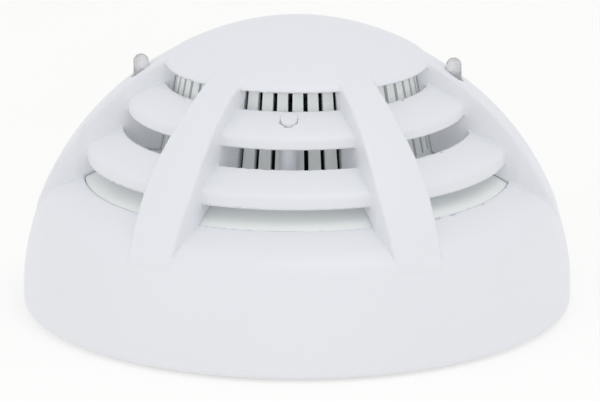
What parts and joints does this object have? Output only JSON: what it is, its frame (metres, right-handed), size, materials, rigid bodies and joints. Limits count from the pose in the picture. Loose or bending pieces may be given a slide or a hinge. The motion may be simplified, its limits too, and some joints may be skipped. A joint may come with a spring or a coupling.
{
  "type": "heat detector",
  "caption": "Domed ceiling heat detector: ribbed, louvred cover over a slotted sensor cage, with two clear lamps, on a twist-lock mounting base.",
  "frame": {"origin": "centre of the mounting base's back face, which lies on the ceiling", "axes": "+Z away from the ceiling, towards the sensing end; the front window faces -Y; the two lamps lie on the X axis"},
  "size_m": [0.1, 0.1, 0.0523],
  "materials": {
    "cover_plastic": "fine satin moulded white",
    "cage_plastic": "satin off-white",
    "base_plastic": "satin moulded white",
    "carrier_plastic": "satin black",
    "clear_lens": "clear epoxy",
    "bead_glass": "dipped gloss epoxy",
    "board_laminate": "green solder mask",
    "chip_plastic": "moulded black",
    "capacitor_sleeve": "shrunk sleeve",
    "plated_steel": "zinc plated",
    "tinned_wire": "tinned",
    "spring_strip": "rolled strip",
    "contact_brass": "stamped"
  },
  "bodies": {
    "base": {"mounting_base": "base_plastic", "terminal_springs": "spring_strip"},
    "head": {"head_base": "base_plastic", "contact_blades": "contact_brass", "contact_rivets": "plated_steel", "cover_screws": "plated_steel", "circuit_board": "board_laminate", "microcontroller": "chip_plastic", "capacitor": "capacitor_sleeve", "surge_diodes": "chip_plastic", "chip_resistors": "chip_plastic", "sensor_cage": "cage_plastic", "sensor_carrier": "carrier_plastic", "thermistor_bead": "bead_glass", "thermistor_leads": "tinned_wire", "led_spacers": "carrier_plastic", "led_leads": "tinned_wire", "led_left": "clear_lens", "led_right": "clear_lens", "outer_cover": "cover_plastic"},
    "clamp_1": {"clamp_plate_1": "plated_steel"},
    "clamp_2": {"clamp_plate_2": "plated_steel"},
    "clamp_3": {"clamp_plate_3": "plated_steel"},
    "clamp_4": {"clamp_plate_4": "plated_steel"},
    "screw_1": {"terminal_screw_1": "plated_steel"},
    "screw_2": {"terminal_screw_2": "plated_steel"},
    "screw_3": {"terminal_screw_3": "plated_steel"},
    "screw_4": {"terminal_screw_4": "plated_steel"}
  },
  "joints": [
    {"name": "head_twist", "type": "hinge", "parent": "base", "child": "head", "pos_m": [0, 0, 0], "axis": [0, 0, 1], "range_deg": [0, 20]},
    {"name": "clamp_1_rise", "type": "slide", "parent": "base", "child": "clamp_1", "axis": [0, 0, 1], "range_m": [0, 0.000875]},
    {"name": "screw_1_turn", "type": "hinge", "parent": "clamp_1", "child": "screw_1", "pos_m": [0.01909, 0.01909, 0.0057], "axis": [0, 0, 1], "range_deg": [0, 630]},
    {"name": "clamp_2_rise", "type": "slide", "parent": "base", "child": "clamp_2", "axis": [0, 0, 1], "range_m": [0, 0.000875]},
    {"name": "screw_2_turn", "type": "hinge", "parent": "clamp_2", "child": "screw_2", "pos_m": [-0.01909, 0.01909, 0.0057], "axis": [0, 0, 1], "range_deg": [0, 630]},
    {"name": "clamp_3_rise", "type": "slide", "parent": "base", "child": "clamp_3", "axis": [0, 0, 1], "range_m": [0, 0.000875]},
    {"name": "screw_3_turn", "type": "hinge", "parent": "clamp_3", "child": "screw_3", "pos_m": [-0.01909, -0.01909, 0.0057], "axis": [0, 0, 1], "range_deg": [0, 630]},
    {"name": "clamp_4_rise", "type": "slide", "parent": "base", "child": "clamp_4", "axis": [0, 0, 1], "range_m": [0, 0.000875]},
    {"name": "screw_4_turn", "type": "hinge", "parent": "clamp_4", "child": "screw_4", "pos_m": [0.01909, -0.01909, 0.0057], "axis": [0, 0, 1], "range_deg": [0, 630]}
  ],
  "couplings": [
    {"joint": "screw_1_turn", "follows": "clamp_1_rise", "rad_per_m": 12566},
    {"joint": "screw_2_turn", "follows": "clamp_2_rise", "rad_per_m": 12566},
    {"joint": "screw_3_turn", "follows": "clamp_3_rise", "rad_per_m": 12566},
    {"joint": "screw_4_turn", "follows": "clamp_4_rise", "rad_per_m": 12566}
  ]
}
